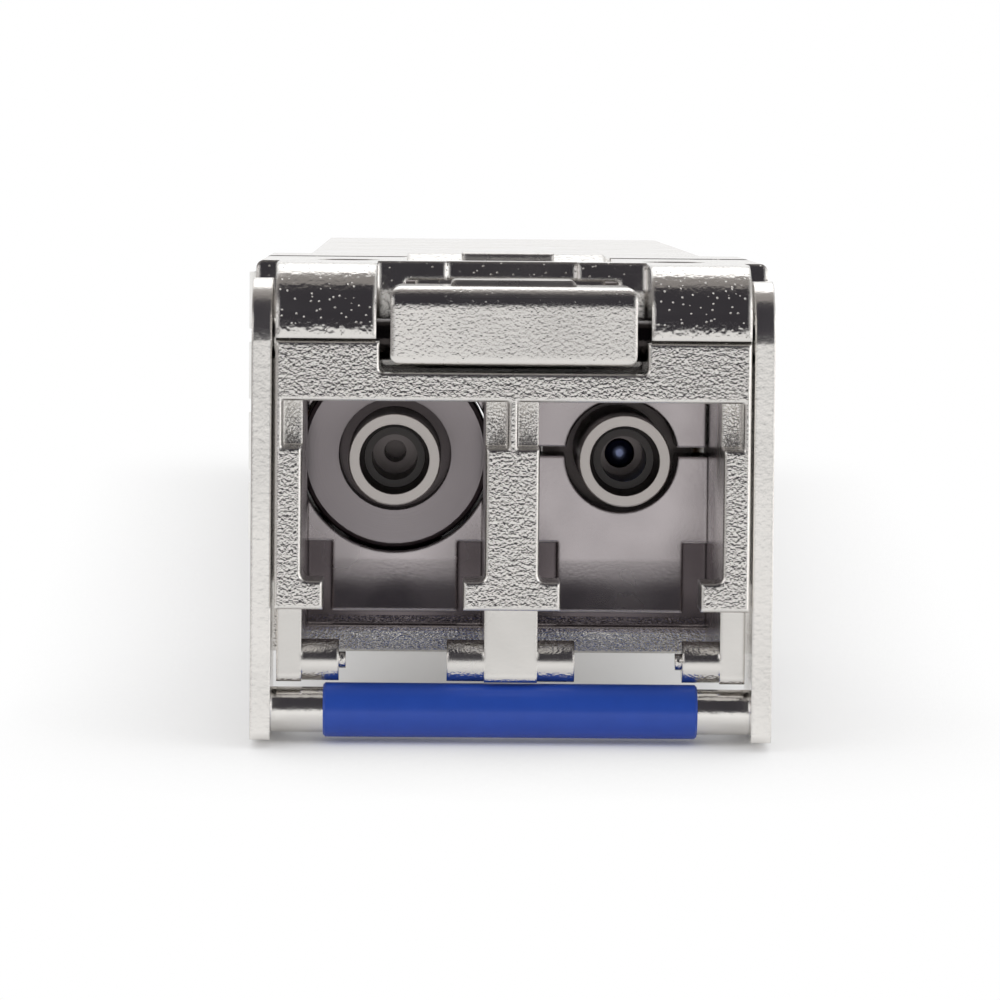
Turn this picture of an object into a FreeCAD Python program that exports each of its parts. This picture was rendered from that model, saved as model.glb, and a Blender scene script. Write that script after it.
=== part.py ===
import FreeCAD, Part
import math
import os
from FreeCAD import Vector

# Pluggable optical module with two LC ports and a bail latch.
# X runs across the ports, +Y runs from the ports to the card edge, +Z points to the latch side.
# The origin lies on the stop face that meets the cage, in the middle of the cage section.
# A "drop" is measured down from the latch face and a "depth" back from the front of the ports.

# Cage section and lengths
BODY_WIDTH = 13.7
BODY_HEIGHT = 8.6
REAR_WIDTH = 13.4
REAR_STEP = 0.1
NOSE_LENGTH = 9.0
FRONT_ZONE = 15.2
LID_REACH = 46.1
OVERALL_LENGTH = 56.5
WALL = 0.8
SKIRT = 0.7
LID_PLATE = 0.95
PARTING_DROP = 2.02
LONG_CHAMFER = 1.1
SMALL_ROUND = 0.2
BODY_ROUND = 0.35
LID_RELIEF = 0.25
RECESS_FRONT = 17.5
RECESS_LENGTH = 26.0
RECESS_WIDTH = 10.6
RECESS_SINK = 0.12
LEAD_IN = 0.8
LEAD_IN_SIDE = 0.3

# Nose and chin
NOSE_WIDTH = 12.44
SHOULDER_DEPTH = 3.75
SHOULDER_LEAN = 0.25
SHOULDER_LEAN_DROP = 0.7
CHIN_DROP = 11.05
CHIN_INSET = 0.04
STOP_WIDTH = 13.3
LEG_SETBACK = 1.0
EDGE_BREAK = 0.07

# Ports
PORT_PITCH = 6.22
PORT_WIDTH = 4.82
PORT_DROP = 3.58
PORT_DEPTH = 8.0
POST_DROP = 4.8
INNER_POCKET = 0.57
OUTER_POCKET = 0.51
CORNER_POCKET_DEPTH = 1.3
FOOT_DROP = 8.3
FOOT_HEIGHT = 0.75
FOOT_GAP = 3.68
FOOT_LENGTH = 1.7
LUG_RADIUS = 0.55
LUG_GAP = 2.85
NUB_RADIUS = 0.22
NUB_LENGTH = 0.18
LIP_DROP = 10.15
LIP_BOTTOM = 10.87
LIP_DEPTH = 8.1
STOP_WALL = 0.5
RAMP_WIDTH = 3.45
RAMP_DROP = 7.8
RAMP_KNEE = 9.0
RAMP_ROUND = 5.8
RAMP_TOE_DEPTH = 7.82
RAMP_TOE_DROP = 9.72
PARTITION = 2.3

# Optical axes
AXIS_PITCH = 6.25
AXIS_DROP = 5.4
BARREL_DEPTH = 5.4
BARREL_RADIUS = 1.25
BARREL_MOUTH = 0.95
MOUTH_LENGTH = 1.1
MOUTH_CHAMFER = 0.03
FERRULE_BORE = 0.6255
FERRULE_REACH = 3.0
SLEEVE_WALL = 0.2
FLANGE_RADIUS = 2.62
FLANGE_LENGTH = 2.2
FLANGE_INSET = 0.1
FLANGE_RELIEF = 0.3
FLANGE_CHAMFER = 0.15
OPTICS_FIT = 0.01
STUB_HOLE = 0.3
LENS_RADIUS = 0.4
LENS_DOME = 0.3
OPTICS_CLEARANCE = 0.06
CLAMP_BORE = 1.55
SPLIT_GAP = 0.26
SPLIT_RISE = 0.12
OPTICS_LENGTH = 6.4
CAN_RADIUS = 2.1
CAN_LENGTH = 3.4
HEADER_RADIUS = 2.25
HEADER_LENGTH = 1.1
PIN_RADIUS = 0.22
PIN_CIRCLE = 1.25
PIN_LENGTH = 0.6
PIN_COUNT = 4
PIN_SEAT = 0.03

# Bail
PIVOT_DEPTH = 1.9
ARM_GAP = 0.1
ARM_THICKNESS = 0.53
ARM_HALF_WIDTH = 1.6
ARM_DROP = 12.53
JOURNAL_RADIUS = 0.55
JOURNAL_CLEARANCE = 0.05
CAM_HALF_LENGTH = 2.9
CAM_CORE = 0.45
LOBE_REACH = 1.06
LOBE_RADIUS = 0.35
BAR_RADIUS = 0.6
BAR_DROP = 11.82
BAR_ADVANCE = 0.4
SLEEVE_LENGTH = 9.88
SLEEVE_RADIUS = 0.72
SLEEVE_SLACK = 0.02

# Latch lever
KNUCKLE_ROUND = 1.7
KNUCKLE_GAP = 7.2
SEAM_HEIGHT = 0.07
SEAM_DEPTH = 0.5
NOTCH_WIDTH = 7.0
NOTCH_DROP = 2.83
NOTCH_DEPTH = 3.6
NOTCH_ROUND = 0.12
EJECTOR_SPREAD = 8.8
EJECTOR_DEPTH = 5.6
EJECTOR_RADIUS = 0.85
EJECTOR_SINK = 0.06
LEVER_WIDTH = 6.45
LEVER_DROP = 0.58
LEVER_BOTTOM = 2.65
LEVER_FRONT_WALL = 0.35
HOOD_LENGTH = 3.4
HOOD_THICKNESS = 0.54
PAD_WIDTH = 3.3
PAD_RISE = 0.16
PAD_LEAN = 0.12
ARM_WIDTH = 5.2
ARM_TOP_DROP = 1.05
ARM_PLATE = 0.5
LEVER_ROUND = 0.5
LEVER_CORNER = 0.28
LEVER_PIVOT_DEPTH = 7.5
LEVER_PIVOT_DROP = 0.95
LEVER_PIN_RADIUS = 0.4
LEVER_PIN_CLEARANCE = 0.04
PIN_INSET = 0.6
LEVER_EYE_RADIUS = 0.62
LEVER_END_DEPTH = 14.6
LEVER_REAR_DROP = 0.2
BOSS_DEPTH = 11.5
BOSS_LENGTH = 2.6
BOSS_WIDTH = 2.6
BOSS_RISE = 0.1
BOSS_ROUND = 0.08
POCKET_SIDE = 0.25
POCKET_DROP = 1.66
POCKET_LEAD = 0.8
POCKET_LEAD_DROP = 0.2
BRIDGE_LENGTH = 1.7
BRIDGE_THICKNESS = 0.5
BRIDGE_NOTCH_WIDTH = 3.5
BRIDGE_NOTCH_DEPTH = 0.4
SPRING_WIDTH = 2.2
SPRING_SHEET = 0.12
SPRING_GAP = 0.7
SPRING_CLEARANCE = 0.05

# Shielding collar
COLLAR_DEPTH = 10.0
COLLAR_BAND = 1.1
COLLAR_SHEET = 0.12
COLLAR_GROOVE = 0.32
COLLAR_SLACK = 0.04
MOUTH_MARGIN = 0.3
FINGER_LENGTH = 3.6
FINGER_BOW = 0.75
FINGER_WIDTH = 1.6
FINGER_PITCH = 2.0
BOTTOM_FINGERS = 6
SIDE_FINGERS = 4

# Circuit board
BOARD_DROP = 2.25
BOARD_THICKNESS = 1.0
BOARD_WIDTH = 11.4
BOARD_FRONT = 21.0
BOARD_END = 53.3
EDGE_WIDTH = 9.2
EDGE_LENGTH = 6.4
RAIL_WIDTH = 0.9
RAIL_LENGTH = 8.0
RAIL_INSET = 1.5
CONTACT_COUNT = 10
CONTACT_PITCH = 0.8
CONTACT_WIDTH = 0.5
CONTACT_LENGTH = 2.4
CONTACT_SHEET = 0.05
CONTACT_SETBACK = 0.5
FLEX_SHEET = 0.12
FLEX_WIDTH = 3.6
FLEX_OVERLAP = 3.2
FLEX_BEND = 0.7
FLEX_MARGIN = 0.8
DRIVER_SIDE = 4.0
AMP_SIDE = 3.0
CONTROLLER_SIDE = 5.0
CHIP_HEIGHT = 0.9
CHIP_CHAMFER = 0.3
CHIP_SPREAD = 5.6
CHIP_GAP = 1.6
CONTROLLER_GAP = 4.0
CAPACITOR_LENGTH = 1.0
CAPACITOR_WIDTH = 0.5
CAPACITOR_ROWS = 5
CAPACITOR_COLUMNS = 4
CAPACITOR_SETBACK = 4.0
CAPACITOR_PITCH = 3.4
CAPACITOR_SPREAD = 2.6
INDUCTOR_SIDE = 2.0
INDUCTOR_HEIGHT = 1.4
INDUCTOR_GAP = 2.5
INDUCTOR_SPREAD = 5.0

HALF_BODY = BODY_WIDTH / 2
HALF_REAR = REAR_WIDTH / 2
HALF_NOSE = NOSE_WIDTH / 2
LATCH_FACE = BODY_HEIGHT / 2
BOARD_UNDERSIDE = BOARD_DROP + BOARD_THICKNESS
HEADER_END = BARREL_DEPTH + OPTICS_LENGTH + CAN_LENGTH + HEADER_LENGTH
SPLIT_DROP = AXIS_DROP - SPLIT_RISE
ARM_INNER = HALF_NOSE + ARM_GAP
ARM_OUTER = ARM_INNER + ARM_THICKNESS
CLEAR = 30.0
OVERRUN = 1.0
OVERLAP = 0.1


def at(depth):
    return depth - NOSE_LENGTH


def down(drop):
    return LATCH_FACE - drop


def rounded_wire(corners):
    """Closed wire through (point, radius) corners, each corner rounded by its radius."""
    stretches = []
    for index, (point, radius) in enumerate(corners):
        before = corners[index - 1][0] - point
        after = corners[(index + 1) % len(corners)][0] - point
        half_angle = before.getAngle(after) / 2
        before.normalize()
        after.normalize()
        reach = radius / math.tan(half_angle)
        middle = before + after
        if radius > 0:
            middle.normalize()
            middle = middle * (radius / math.sin(half_angle) - radius)
        stretches.append((point + before * reach, point + middle, point + after * reach, radius))
    edges = []
    for index, (start, middle, end, radius) in enumerate(stretches):
        if radius > 0:
            edges.append(Part.Arc(start, middle, end).toShape())
        following = stretches[(index + 1) % len(stretches)][0]
        if end.distanceToPoint(following) > 1e-6:
            edges.append(Part.LineSegment(end, following).toShape())
    return Part.Wire(edges)


def corner_list(corners, place):
    return [(place(c[0], c[1]), c[2] if len(c) > 2 else 0) for c in corners]


def prism_x(x0, x1, corners):
    """Solid across X from a side outline of (depth, drop, radius) corners."""
    wire = rounded_wire(corner_list(corners, lambda d, h: Vector(x0, at(d), down(h))))
    return Part.Face(wire).extrude(Vector(x1 - x0, 0, 0))


def prism_y(d0, d1, corners):
    """Solid along Y from a front outline of (x, drop, radius) corners."""
    wire = rounded_wire(corner_list(corners, lambda x, h: Vector(x, at(d0), down(h))))
    return Part.Face(wire).extrude(Vector(0, d1 - d0, 0))


def prism_z(h0, h1, corners):
    """Solid along Z from a plan outline of (x, depth, radius) corners."""
    wire = rounded_wire(corner_list(corners, lambda x, d: Vector(x, at(d), down(h0))))
    return Part.Face(wire).extrude(Vector(0, 0, h0 - h1))


def block(x0, x1, d0, d1, h0, h1, radius=0):
    """Block between two widths, depths and drops, with its four long edges rounded."""
    return prism_y(d0, d1, [(x0, h0, radius), (x1, h0, radius), (x1, h1, radius), (x0, h1, radius)])


def rod_x(x0, x1, depth, drop, radius):
    return Part.makeCylinder(radius, x1 - x0, Vector(x0, at(depth), down(drop)), Vector(1, 0, 0))


def turned(axis_x, corners):
    """Turned piece on an optical axis from (radius, depth, round) corners."""
    axis = Vector(axis_x, 0, down(AXIS_DROP))
    wire = rounded_wire(corner_list(corners, lambda r, d: Vector(axis_x + r, at(d), down(AXIS_DROP))))
    return Part.Face(wire).revolve(axis, Vector(0, 1, 0), 360)


def joined(shapes):
    return shapes[0].fuse(shapes[1:]).removeSplitter()


def both_sides(shape):
    return [shape, shape.mirror(Vector(0, 0, 0), Vector(1, 0, 0))]


def save(shape, node):
    shape.exportStep("parts/" + node + ".step")


def collar_groove():
    """Ring-shaped relief round the cage section for the shielding collar, longer where the collar has fingers."""
    start = COLLAR_DEPTH - COLLAR_SLACK
    band_end = COLLAR_DEPTH + COLLAR_BAND + COLLAR_SLACK
    end = COLLAR_DEPTH + COLLAR_BAND + FINGER_LENGTH
    inner = HALF_BODY - COLLAR_GROOVE
    core = block(-inner, inner, start - OVERRUN, end + OVERRUN, COLLAR_GROOVE, BODY_HEIGHT - COLLAR_GROOVE)
    latch_side = block(-CLEAR, CLEAR, band_end, end + OVERRUN, -CLEAR, COLLAR_GROOVE)
    return block(-CLEAR, CLEAR, start, end, -CLEAR, CLEAR).cut([core, latch_side])


def bearing():
    """Round seat at the parting line in which the bail's camshaft turns."""
    return rod_x(-CLEAR, CLEAR, PIVOT_DEPTH, PARTING_DROP, JOURNAL_RADIUS + JOURNAL_CLEARANCE)


def port_cuts(centre):
    """Openings of one LC port: plug cavity, corner pockets, latch channel and the gap below it."""
    left = centre - PORT_WIDTH / 2
    right = centre + PORT_WIDTH / 2
    leg_drop = FOOT_DROP + FOOT_HEIGHT
    channel_end = NOSE_LENGTH - STOP_WALL
    merge = SMALL_ROUND + OVERLAP
    foot = FOOT_GAP / 2
    cavity = prism_y(-CLEAR, PORT_DEPTH, [
        (left, PORT_DROP),
        (right, PORT_DROP),
        (right, FOOT_DROP, SMALL_ROUND),
        (left, FOOT_DROP, SMALL_ROUND),
    ])
    pocket_left = left - (OUTER_POCKET if centre < 0 else INNER_POCKET)
    pocket_right = right + (INNER_POCKET if centre < 0 else OUTER_POCKET)
    return joined([
        cavity,
        block(pocket_left, pocket_right, -CLEAR, CORNER_POCKET_DEPTH, PORT_DROP, POST_DROP),
        block(centre - foot, centre + foot, -CLEAR, FOOT_LENGTH + merge, FOOT_DROP - merge, leg_drop + merge),
        block(left, right, FOOT_LENGTH, channel_end, FOOT_DROP - merge, leg_drop + merge),
        block(left, right, -CLEAR, LIP_DEPTH, leg_drop, CHIN_DROP + OVERRUN),
        block(left, right, LIP_DEPTH - merge, channel_end, leg_drop, LIP_DROP),
        block(left, right, LIP_DEPTH - merge, NOSE_LENGTH + OVERRUN, LIP_BOTTOM, CHIN_DROP + OVERRUN),
    ])


def port_lugs(centre):
    """Two round stubs that reach from the legs of a port into the gap below its latch channel.
    The outer one of them ends in a small nub."""
    depth = LEG_SETBACK + LUG_RADIUS
    drop = CHIN_DROP - LUG_RADIUS
    lugs = []
    for side in (-1, 1):
        root = centre + side * (PORT_WIDTH / 2 + OVERLAP)
        tip = centre + side * LUG_GAP / 2
        lugs.append(rod_x(min(root, tip), max(root, tip), depth, drop, LUG_RADIUS))
        if side * centre > 0:
            end = tip - side * NUB_LENGTH
            lugs.append(rod_x(min(root, end), max(root, end), depth, drop, NUB_RADIUS))
    return lugs


def port_ramp(centre):
    """Ramp that carries the rear wall of a port forward in a wide curve to its latch channel."""
    back = NOSE_LENGTH - STOP_WALL + OVERLAP
    return prism_x(centre - RAMP_WIDTH / 2, centre + RAMP_WIDTH / 2, [
        (back, RAMP_DROP),
        (PORT_DEPTH, RAMP_DROP),
        (PORT_DEPTH, RAMP_KNEE, RAMP_ROUND),
        (RAMP_TOE_DEPTH, RAMP_TOE_DROP),
        (back, RAMP_TOE_DROP),
    ])


def rear_pockets(centre):
    """Two recesses in the rear wall of a port, one on each side of its ramp."""
    end = NOSE_LENGTH - STOP_WALL
    low = FOOT_DROP - SMALL_ROUND
    pockets = []
    for side in (-1, 1):
        ends = sorted([centre + side * PORT_WIDTH / 2, centre + side * RAMP_WIDTH / 2])
        pockets.append(block(ends[0], ends[1], PORT_DEPTH - OVERLAP, end, RAMP_DROP, low))
    return pockets


def port_housing():
    """Lower casting: port nose, chin with the stop face, and the tray for the optics and the board."""
    half_chin = HALF_NOSE - CHIN_INSET
    inside = HALF_REAR - WALL
    wall_end = PORT_DEPTH + PARTITION
    floor_drop = BODY_HEIGHT - REAR_STEP
    centres = [-PORT_PITCH / 2, PORT_PITCH / 2]
    nose = block(-HALF_NOSE, HALF_NOSE, 0, SHOULDER_DEPTH + WALL, PARTING_DROP, FOOT_DROP + FOOT_HEIGHT)
    chin = prism_x(-half_chin, half_chin, [
        (LEG_SETBACK, FOOT_DROP),
        (NOSE_LENGTH, FOOT_DROP),
        (NOSE_LENGTH, CHIN_DROP, SMALL_ROUND),
        (LEG_SETBACK, CHIN_DROP, SMALL_ROUND),
    ])
    front = prism_y(SHOULDER_DEPTH, FRONT_ZONE, [
        (-HALF_BODY, PARTING_DROP),
        (HALF_BODY, PARTING_DROP),
        (HALF_BODY, BODY_HEIGHT, BODY_ROUND),
        (-HALF_BODY, BODY_HEIGHT, BODY_ROUND),
    ])
    rear = prism_y(FRONT_ZONE - WALL, OVERALL_LENGTH, [
        (-HALF_REAR, PARTING_DROP),
        (HALF_REAR, PARTING_DROP),
        (HALF_REAR, floor_drop, BODY_ROUND),
        (-HALF_REAR, floor_drop, BODY_ROUND),
    ])
    lead_in = prism_z(BODY_HEIGHT, 0, [
        (-HALF_REAR, FRONT_ZONE - WALL),
        (HALF_REAR, FRONT_ZONE - WALL),
        (HALF_REAR, OVERALL_LENGTH - LEAD_IN),
        (HALF_REAR - LEAD_IN_SIDE, OVERALL_LENGTH),
        (LEAD_IN_SIDE - HALF_REAR, OVERALL_LENGTH),
        (-HALF_REAR, OVERALL_LENGTH - LEAD_IN),
    ])
    stop = block(-STOP_WIDTH / 2, STOP_WIDTH / 2, LIP_DEPTH, NOSE_LENGTH, FOOT_DROP, LIP_BOTTOM, SMALL_ROUND)
    housing = joined([nose, chin, stop, front, rear.common(lead_in)])
    housing = housing.cut([port_cuts(centre) for centre in centres])
    lugs = [lug for centre in centres for lug in port_lugs(centre)]
    housing = joined([housing] + lugs + [port_ramp(centre) for centre in centres])
    pockets = [pocket for centre in centres for pocket in rear_pockets(centre)]
    seat_left = PORT_PITCH / 2 - PORT_WIDTH / 2
    seat_right = PORT_PITCH / 2 + PORT_WIDTH / 2
    skirt_inside = HALF_REAR - SKIRT
    recess_end = RECESS_FRONT + RECESS_LENGTH
    housing = housing.cut([
        block(-inside, inside, wall_end, LID_REACH, 0, floor_drop - WALL),
        block(-skirt_inside, skirt_inside, LID_REACH - WALL, OVERALL_LENGTH + OVERRUN, 0, floor_drop - SKIRT),
        axial_hole(-AXIS_PITCH / 2, FLANGE_RADIUS + OPTICS_CLEARANCE),
        axial_hole(AXIS_PITCH / 2, CLAMP_BORE),
        block(seat_left, seat_right, PORT_DEPTH, wall_end + OVERRUN, 0, SPLIT_DROP + SPLIT_GAP / 2),
        bearing(),
        block(-NOTCH_WIDTH / 2, NOTCH_WIDTH / 2, -OVERRUN, NOTCH_DEPTH, 0, NOTCH_DROP, NOTCH_ROUND),
        block(-RECESS_WIDTH / 2, RECESS_WIDTH / 2, RECESS_FRONT, recess_end, floor_drop - RECESS_SINK, CLEAR),
        collar_groove(),
    ] + pockets)
    rails = []
    for start in (BOARD_FRONT + RAIL_INSET, LID_REACH - RAIL_INSET - RAIL_LENGTH):
        rail_left = inside - RAIL_WIDTH
        rail_low = floor_drop - WALL + OVERLAP
        end = start + RAIL_LENGTH
        rails += both_sides(block(rail_left, inside + OVERLAP, start, end, BOARD_UNDERSIDE, rail_low))
    housing = joined([housing] + rails)
    outline = [edge for edge in housing.Edges if all(abs(v.Y - at(0)) < 1e-6 for v in edge.Vertexes)]
    return housing.makeChamfer(EDGE_BREAK, outline)


def axial_hole(axis_x, radius):
    """Round hole on an optical axis through the wall behind the ports."""
    start = PORT_DEPTH - OVERRUN
    end = PORT_DEPTH + PARTITION + OVERRUN
    return turned(axis_x, [(0, start), (radius, start), (radius, end), (0, end)])


def latch_housing():
    """Upper casting: two knuckles over the bail's camshaft, the lever pocket and the lid."""
    pocket = ARM_WIDTH / 2 + POCKET_SIDE
    bridge_end = SHOULDER_DEPTH + BRIDGE_LENGTH
    pocket_end = LEVER_END_DEPTH + WALL
    chamfer_x = HALF_REAR - LONG_CHAMFER
    knuckle = prism_x(KNUCKLE_GAP / 2, HALF_NOSE, [
        (0, 0, KNUCKLE_ROUND),
        (SHOULDER_DEPTH + WALL, 0),
        (SHOULDER_DEPTH + WALL, PARTING_DROP),
        (SEAM_DEPTH, PARTING_DROP),
        (SEAM_DEPTH, PARTING_DROP - SEAM_HEIGHT),
        (0, PARTING_DROP - SEAM_HEIGHT),
    ])
    front = prism_y(SHOULDER_DEPTH, FRONT_ZONE, [
        (-HALF_BODY, 0, SMALL_ROUND),
        (HALF_BODY, 0, SMALL_ROUND),
        (HALF_BODY, PARTING_DROP),
        (-HALF_BODY, PARTING_DROP),
    ])
    front = front.common(prism_x(-HALF_BODY, HALF_BODY, [
        (SHOULDER_DEPTH + SHOULDER_LEAN, 0),
        (FRONT_ZONE, 0),
        (FRONT_ZONE, PARTING_DROP),
        (SHOULDER_DEPTH, PARTING_DROP),
        (SHOULDER_DEPTH, SHOULDER_LEAN_DROP),
    ]))
    lid = prism_y(FRONT_ZONE - WALL, LID_REACH, [
        (-chamfer_x, 0),
        (chamfer_x, 0),
        (HALF_REAR, LONG_CHAMFER),
        (HALF_REAR, PARTING_DROP),
        (-HALF_REAR, PARTING_DROP),
        (-HALF_REAR, LONG_CHAMFER),
    ])
    housing = joined(both_sides(knuckle) + [front, lid])
    notch = BRIDGE_NOTCH_WIDTH / 2
    notch_end = SHOULDER_DEPTH + BRIDGE_NOTCH_DEPTH
    hollow = HALF_REAR - WALL - LID_RELIEF
    cuts = [
        block(-pocket, pocket, bridge_end, pocket_end, -OVERRUN, POCKET_DROP),
        prism_x(-pocket, pocket, [
            (pocket_end - OVERLAP, 0),
            (pocket_end + POCKET_LEAD, 0),
            (pocket_end, POCKET_LEAD_DROP),
            (pocket_end - OVERLAP, POCKET_LEAD_DROP),
        ]),
        block(-pocket, pocket, SHOULDER_DEPTH - OVERRUN, bridge_end + OVERLAP, BRIDGE_THICKNESS, POCKET_DROP),
        prism_x(-notch, notch, [
            (SHOULDER_DEPTH - OVERRUN, 0),
            (notch_end + SHOULDER_LEAN, 0),
            (notch_end, SHOULDER_LEAN_DROP),
            (SHOULDER_DEPTH - OVERRUN, SHOULDER_LEAN_DROP),
        ]),
        block(-hollow, hollow, pocket_end + WALL, LID_REACH + OVERRUN, LID_PLATE, PARTING_DROP + OVERRUN),
        bearing(),
        rod_x(-CLEAR, CLEAR, LEVER_PIVOT_DEPTH, LEVER_PIVOT_DROP, LEVER_PIN_RADIUS + PIN_SEAT),
        collar_groove(),
    ]
    for side in (-1, 1):
        spot = Vector(side * EJECTOR_SPREAD / 2, at(EJECTOR_DEPTH), down(EJECTOR_SINK))
        cuts.append(Part.makeCylinder(EJECTOR_RADIUS, OVERRUN, spot))
    return housing.cut(cuts)


def bail():
    """Closed loop of two arms, a crossbar below the chin and a camshaft under the lever's hood."""
    front = PIVOT_DEPTH - ARM_HALF_WIDTH
    back = PIVOT_DEPTH + ARM_HALF_WIDTH
    arm_top = PARTING_DROP - ARM_HALF_WIDTH
    bar_depth = PIVOT_DEPTH - BAR_ADVANCE
    arm = prism_x(ARM_INNER, ARM_OUTER, [
        (front, arm_top, ARM_HALF_WIDTH),
        (back, arm_top, ARM_HALF_WIDTH),
        (back, ARM_DROP, SMALL_ROUND),
        (front, ARM_DROP, SMALL_ROUND),
    ])
    journal_end = ARM_INNER + ARM_THICKNESS / 2
    journal = rod_x(CAM_HALF_LENGTH, journal_end, PIVOT_DEPTH, PARTING_DROP, JOURNAL_RADIUS)
    core_half = CAM_HALF_LENGTH + OVERLAP
    core = rod_x(-core_half, core_half, PIVOT_DEPTH, PARTING_DROP, CAM_CORE)
    tip = PIVOT_DEPTH - LOBE_REACH - LOBE_RADIUS
    lobe = prism_x(-CAM_HALF_LENGTH, CAM_HALF_LENGTH, [
        (PIVOT_DEPTH, PARTING_DROP - LOBE_RADIUS),
        (tip, PARTING_DROP - LOBE_RADIUS, LOBE_RADIUS),
        (tip, PARTING_DROP + LOBE_RADIUS, LOBE_RADIUS),
        (PIVOT_DEPTH, PARTING_DROP + LOBE_RADIUS),
    ])
    bar = rod_x(-journal_end, journal_end, bar_depth, BAR_DROP, BAR_RADIUS)
    return joined(both_sides(arm) + both_sides(journal) + [core, lobe, bar])


def bail_sleeve():
    """Plastic sleeve on the crossbar, with eased ends."""
    bar_depth = PIVOT_DEPTH - BAR_ADVANCE
    half = SLEEVE_LENGTH / 2
    tube = rod_x(-half, half, bar_depth, BAR_DROP, SLEEVE_RADIUS)
    rims = [edge for edge in tube.Edges if edge.isClosed()]
    tube = tube.makeChamfer((SLEEVE_RADIUS - BAR_RADIUS) / 2, rims)
    return tube.cut(rod_x(-half - OVERRUN, half + OVERRUN, bar_depth, BAR_DROP, BAR_RADIUS + SLEEVE_SLACK))


def latch_lever():
    """Rocking lever: hooded front block over the cam, arm under the bridge, and the latch boss."""
    half = LEVER_WIDTH / 2
    half_arm = ARM_WIDTH / 2
    half_pad = PAD_WIDTH / 2
    hood_drop = LEVER_DROP + HOOD_THICKNESS
    heel = HOOD_LENGTH - WALL
    arm_drop = ARM_TOP_DROP + ARM_PLATE
    tail_drop = LEVER_REAR_DROP + ARM_PLATE
    boss_end = BOSS_DEPTH + BOSS_LENGTH
    ramp_start = boss_end - BOSS_RISE - LEVER_REAR_DROP
    front = prism_x(-half, half, [
        (0, LEVER_DROP, LEVER_ROUND),
        (HOOD_LENGTH, LEVER_DROP, SMALL_ROUND),
        (HOOD_LENGTH, hood_drop),
        (LEVER_FRONT_WALL, hood_drop, SMALL_ROUND),
        (LEVER_FRONT_WALL, LEVER_BOTTOM),
        (0, LEVER_BOTTOM, SMALL_ROUND),
    ])
    outline = block(-half, half, -OVERRUN, HOOD_LENGTH + OVERRUN, LEVER_DROP, LEVER_BOTTOM, LEVER_CORNER)
    front = front.common(outline)
    pad_start = LEVER_ROUND + SMALL_ROUND
    pad_end = HOOD_LENGTH - SMALL_ROUND
    pad_top = LEVER_DROP - PAD_RISE
    pad_low = hood_drop - SMALL_ROUND
    pad = prism_y(pad_start, pad_end, [
        (-half_pad, pad_top, PAD_RISE),
        (half_pad, pad_top, PAD_RISE),
        (half_pad, pad_low),
        (-half_pad, pad_low),
    ])
    pad = pad.common(prism_x(-half_pad, half_pad, [
        (pad_start + PAD_LEAN, pad_top),
        (pad_end, pad_top),
        (pad_end, pad_low),
        (pad_start, pad_low),
    ]))
    arm = prism_x(-half_arm, half_arm, [
        (heel, LEVER_DROP + SMALL_ROUND),
        (HOOD_LENGTH, LEVER_DROP + SMALL_ROUND),
        (HOOD_LENGTH, ARM_TOP_DROP),
        (LEVER_PIVOT_DEPTH, ARM_TOP_DROP),
        (LEVER_PIVOT_DEPTH, arm_drop),
        (heel, arm_drop, SMALL_ROUND),
    ])
    eye = rod_x(-half_arm, half_arm, LEVER_PIVOT_DEPTH, LEVER_PIVOT_DROP, LEVER_EYE_RADIUS)
    tail = prism_x(-half_arm, half_arm, [
        (LEVER_PIVOT_DEPTH, LEVER_REAR_DROP),
        (LEVER_END_DEPTH, LEVER_REAR_DROP, SMALL_ROUND),
        (LEVER_END_DEPTH, tail_drop, SMALL_ROUND),
        (LEVER_PIVOT_DEPTH, tail_drop),
    ])
    boss = prism_x(-BOSS_WIDTH / 2, BOSS_WIDTH / 2, [
        (BOSS_DEPTH, -BOSS_RISE, BOSS_ROUND),
        (ramp_start, -BOSS_RISE, SMALL_ROUND),
        (boss_end, LEVER_REAR_DROP),
        (boss_end, tail_drop),
        (BOSS_DEPTH, tail_drop),
    ])
    lever = joined([front, pad, arm, eye, tail, boss])
    pin_room = LEVER_PIN_RADIUS + LEVER_PIN_CLEARANCE
    return lever.cut(rod_x(-CLEAR, CLEAR, LEVER_PIVOT_DEPTH, LEVER_PIVOT_DROP, pin_room))


def lever_pivot_pin():
    half = HALF_BODY - PIN_INSET
    return rod_x(-half, half, LEVER_PIVOT_DEPTH, LEVER_PIVOT_DROP, LEVER_PIN_RADIUS)


def bowed_strip(width, start, end, foot_drop, top_drop, sheet):
    """Bowed sheet-metal strip whose ends stand at one drop and whose middle rises to another."""
    edge = -width / 2
    middle = (start + end) / 2
    lean = sheet * (end - start) / (foot_drop - top_drop) / 4

    def spot(depth, drop):
        return Vector(edge, at(depth), down(drop))

    outer = Part.Arc(spot(start, foot_drop), spot(middle, top_drop), spot(end, foot_drop))
    under = top_drop + sheet
    inner = Part.Arc(spot(end - lean, foot_drop), spot(middle, under), spot(start + lean, foot_drop))
    tip = Part.LineSegment(outer.EndPoint, inner.StartPoint)
    root = Part.LineSegment(inner.EndPoint, outer.StartPoint)
    wire = Part.Wire([curve.toShape() for curve in (outer, tip, inner, root)])
    return Part.Face(wire).extrude(Vector(width, 0, 0))


def lever_spring():
    """Leaf spring bowed between the floor of the pocket and the lever's tail."""
    start = LEVER_PIVOT_DEPTH + LEVER_EYE_RADIUS + SPRING_GAP
    end = LEVER_END_DEPTH - SMALL_ROUND
    top_drop = LEVER_REAR_DROP + ARM_PLATE + SPRING_CLEARANCE
    return bowed_strip(SPRING_WIDTH, start, end, POCKET_DROP, top_drop, SPRING_SHEET)


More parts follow.
